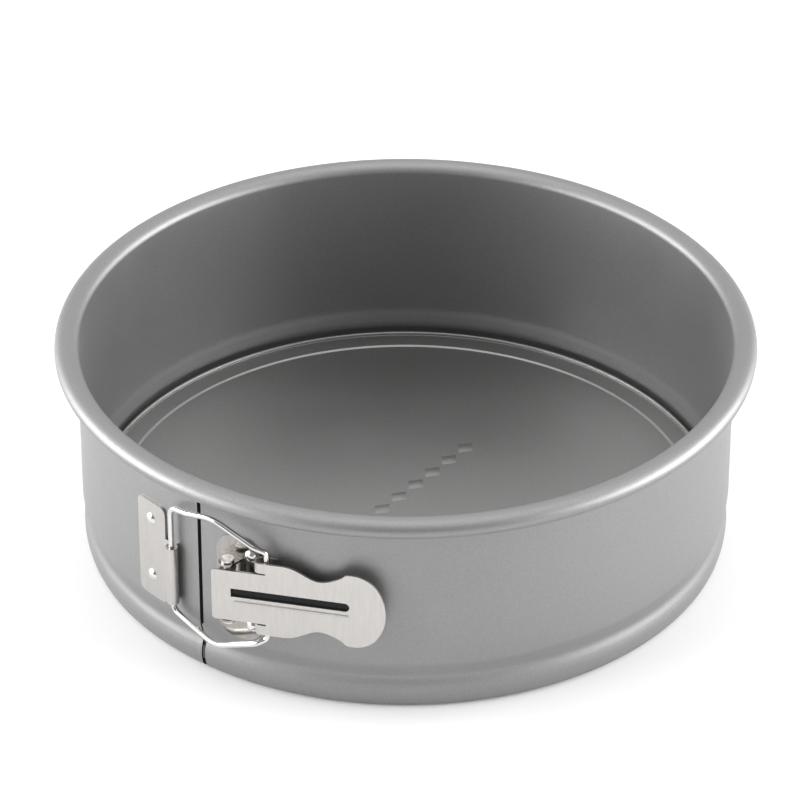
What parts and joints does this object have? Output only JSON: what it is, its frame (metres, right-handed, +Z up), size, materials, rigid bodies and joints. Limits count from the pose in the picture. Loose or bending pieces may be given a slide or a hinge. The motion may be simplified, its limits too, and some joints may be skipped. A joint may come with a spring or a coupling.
{
  "type": "springform pan",
  "caption": "Round springform cake pan: a band with a rolled rim, closed by an over-centre lever latch, holds a removable flat base",
  "frame": {"origin": "centre of the pan on the plane its band stands on", "axes": "+Z up along the pan's axis, -Y towards the seam of the band, +X to the lever's side of the seam"},
  "size_m": [0.2456, 0.2474, 0.08],
  "materials": {
    "coating": "satin",
    "base_coating": "satin",
    "nickel": "satin",
    "wire": "polished",
    "rivet": "polished"
  },
  "bodies": {
    "pan_right": {"band_right_half": "coating", "lever_bracket": "nickel", "bracket_rivet_upper": "rivet", "bracket_rivet_lower": "rivet", "lever_pin": "rivet"},
    "pan_left": {"band_left_half": "coating", "catch_plate": "nickel", "catch_rivet_upper": "rivet", "catch_rivet_lower": "rivet"},
    "lever": {"clamp_lever": "nickel"},
    "bail": {"wire_bail": "wire"},
    "base": {"base_plate": "base_coating"}
  },
  "joints": [
    {"name": "lever_swing", "type": "hinge", "parent": "pan_right", "child": "lever", "pos_m": [0.01566, -0.11949, 0.0424], "axis": [0, 0, -1], "range_deg": [0, 90]},
    {"name": "band_spring", "type": "hinge", "parent": "pan_right", "child": "pan_left", "pos_m": [0, 0.1236, 0.04], "axis": [0, 0, -1], "range_deg": [0, 0.98]},
    {"name": "bail_swing", "type": "hinge", "parent": "pan_left", "child": "bail", "pos_m": [-0.01056, -0.11722, 0.0428], "axis": [0, 0, -1], "range_deg": [0, 27.3]},
    {"name": "base_lift", "type": "slide", "parent": "pan_right", "child": "base", "axis": [0, 0, 1], "range_m": [0, 0.085]}
  ],
  "couplings": [
    {"joint": "band_spring", "follows": "lever_swing", "ratio": 0.010797},
    {"joint": "bail_swing", "follows": "lever_swing", "ratio": 0.30236}
  ]
}
